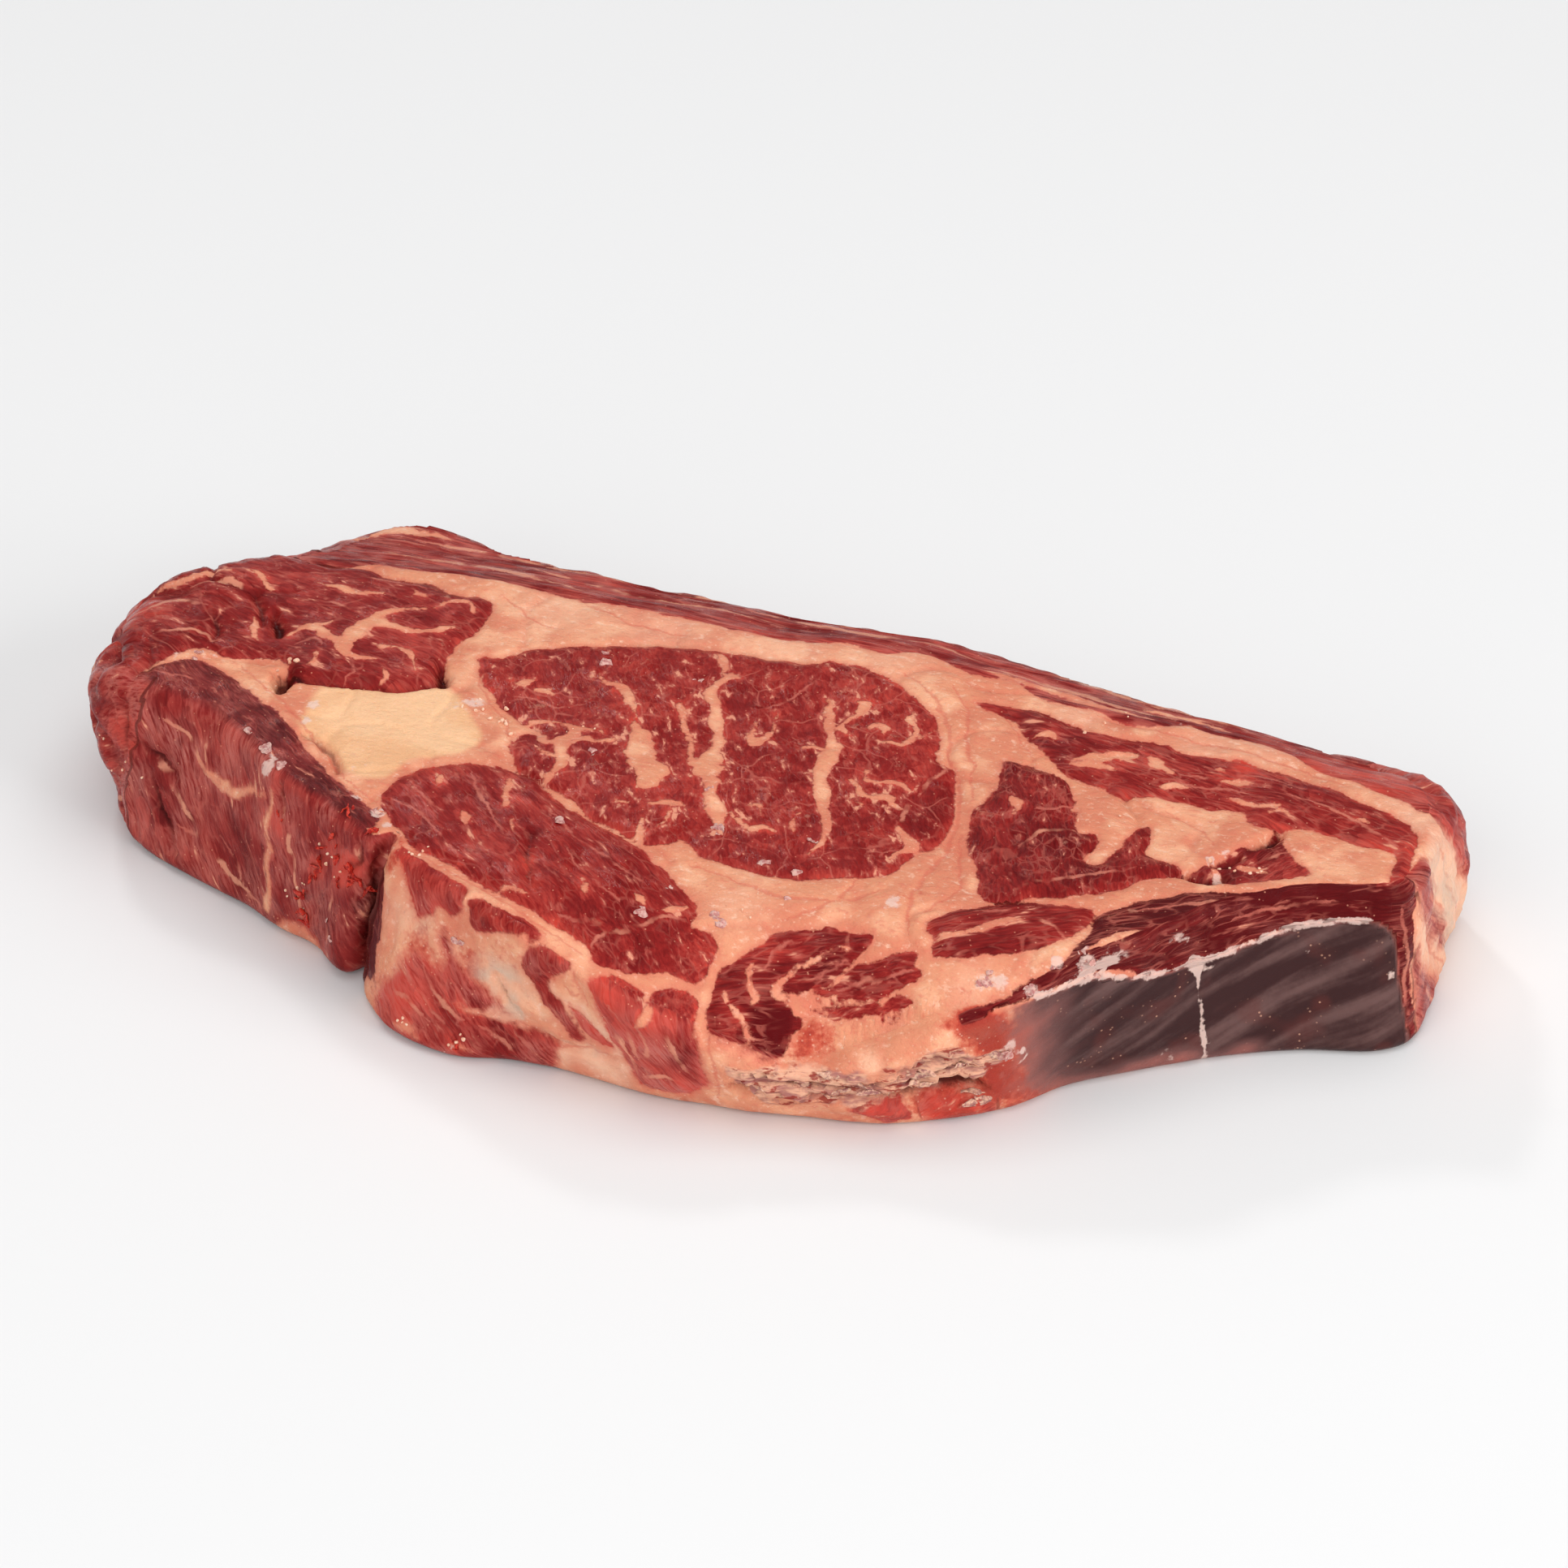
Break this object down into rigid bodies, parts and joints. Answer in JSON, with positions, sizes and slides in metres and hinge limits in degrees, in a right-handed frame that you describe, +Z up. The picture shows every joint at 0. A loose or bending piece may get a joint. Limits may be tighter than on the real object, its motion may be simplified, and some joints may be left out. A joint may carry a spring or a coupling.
{
  "type": "raw beef steak",
  "caption": "Thick-cut raw beef rib steak, marbled red muscles with fat seams between them and a rind of fat, lying flat on its cut face.",
  "frame": {"origin": "on the flat underside, at the middle of the steak's bounding box", "axes": "+X along the length, from the loose end to the squared rib side; +Y across, to the straight back edge; +Z up, out of the upper cut face"},
  "size_m": [0.2946, 0.1504, 0.0391],
  "materials": {
    "lean_meat": "moist, semi-gloss",
    "fat": "moist, semi-gloss"
  },
  "bodies": {
    "root": {"steak": "lean_meat"}
  },
  "joints": []
}
